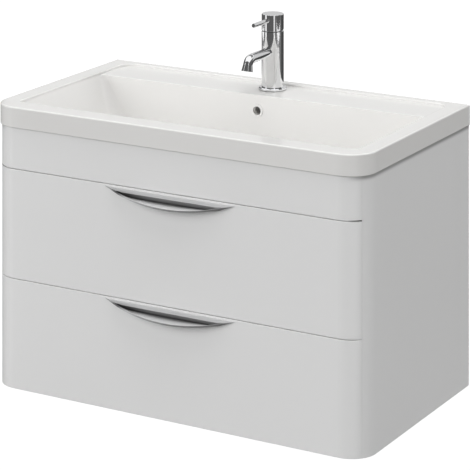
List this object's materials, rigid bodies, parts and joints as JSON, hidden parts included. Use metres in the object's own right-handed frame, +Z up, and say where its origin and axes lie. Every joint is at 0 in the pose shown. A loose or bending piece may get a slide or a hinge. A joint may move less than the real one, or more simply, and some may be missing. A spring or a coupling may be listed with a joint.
{
  "type": "bathroom vanity cabinet",
  "caption": "Wall-hung vanity cabinet with rounded front corners, lip-handled drawers on telescopic runners, an inset ceramic basin, lift-up waste plug and a lever tap.",
  "frame": {"origin": "on the wall plane, at the middle of the cabinet's underside", "axes": "+X to the right along the front, +Y into the wall, +Z up"},
  "size_m": [0.804, 0.4693, 0.6851],
  "materials": {
    "lacquer": "satin light grey lacquer on board",
    "board": "light melamine facing",
    "ceramic": "white glaze",
    "chrome": "polished",
    "satin_chrome": "satin",
    "steel": "zinc plated",
    "drawer_steel": "grey powder coat",
    "plastic": "moulded",
    "rubber": "black",
    "brass": "machined"
  },
  "bodies": {
    "cabinet": {"left_side_panel": "lacquer", "right_side_panel": "lacquer", "fascia_panel": "lacquer", "bottom_panel": "board", "front_top_rail": "board", "upper_back_rail": "board", "lower_back_rail": "board", "basin": "ceramic", "waste_body": "chrome", "tap_body": "chrome", "tap_spout": "chrome", "cam_locks": "steel", "cam_bolts": "steel", "hanger_hooks": "steel", "left_wall_plate": "steel", "right_wall_plate": "steel", "runner_screws": "steel", "left_upper_cabinet_rail": "steel", "right_upper_cabinet_rail": "steel", "left_lower_cabinet_rail": "steel", "right_lower_cabinet_rail": "steel", "tap_stud": "steel", "tap_clamp_washer": "steel", "left_hanger": "plastic", "right_hanger": "plastic", "waste_nut": "plastic", "tap_aerator": "plastic", "tap_cartridge": "plastic", "waste_seal": "rubber", "waste_washer": "rubber", "tap_gasket": "rubber", "cartridge_nut": "brass", "tap_stud_nut": "brass"},
    "upper_drawer": {"upper_drawer_front": "lacquer", "upper_handle": "satin_chrome", "upper_handle_screws": "steel", "upper_front_brackets": "steel", "left_upper_drawer_side": "drawer_steel", "right_upper_drawer_side": "drawer_steel", "upper_drawer_bottom": "board", "cutout_surround": "plastic", "left_upper_drawer_back": "board", "right_upper_drawer_back": "board"},
    "lower_drawer": {"lower_drawer_front": "lacquer", "lower_handle": "satin_chrome", "lower_handle_screws": "steel", "lower_front_brackets": "steel", "left_lower_drawer_side": "drawer_steel", "right_lower_drawer_side": "drawer_steel", "lower_drawer_bottom": "board", "lower_drawer_back": "board"},
    "upper_runners": {"left_upper_middle_rail": "steel", "right_upper_middle_rail": "steel"},
    "lower_runners": {"left_lower_middle_rail": "steel", "right_lower_middle_rail": "steel"},
    "tap_spindle": {"tap_rotor": "steel"},
    "tap_lever": {"lever_cap": "chrome", "lever_pin": "chrome"},
    "waste_plug": {"waste_plug": "chrome"}
  },
  "joints": [
    {"name": "upper_drawer_slide", "type": "slide", "parent": "cabinet", "child": "upper_drawer", "axis": [0, -1, 0], "range_m": [0, 0.35]},
    {"name": "upper_runner_slide", "type": "slide", "parent": "cabinet", "child": "upper_runners", "axis": [0, -1, 0], "range_m": [0, 0.175]},
    {"name": "lower_drawer_slide", "type": "slide", "parent": "cabinet", "child": "lower_drawer", "axis": [0, -1, 0], "range_m": [0, 0.35]},
    {"name": "lower_runner_slide", "type": "slide", "parent": "cabinet", "child": "lower_runners", "axis": [0, -1, 0], "range_m": [0, 0.175]},
    {"name": "waste_plug_lift", "type": "slide", "parent": "cabinet", "child": "waste_plug", "axis": [0, 0, 1], "range_m": [0, 0.009]},
    {"name": "tap_turn", "type": "hinge", "parent": "cabinet", "child": "tap_spindle", "pos_m": [0, -0.056, 0.652], "axis": [0, 0, 1], "range_deg": [-45, 45]},
    {"name": "tap_lift", "type": "hinge", "parent": "tap_spindle", "child": "tap_lever", "pos_m": [0, -0.056, 0.6601], "axis": [-1, 0, 0], "range_deg": [0, 14]}
  ],
  "couplings": [
    {"joint": "upper_runner_slide", "follows": "upper_drawer_slide", "ratio": 0.5},
    {"joint": "lower_runner_slide", "follows": "lower_drawer_slide", "ratio": 0.5}
  ]
}
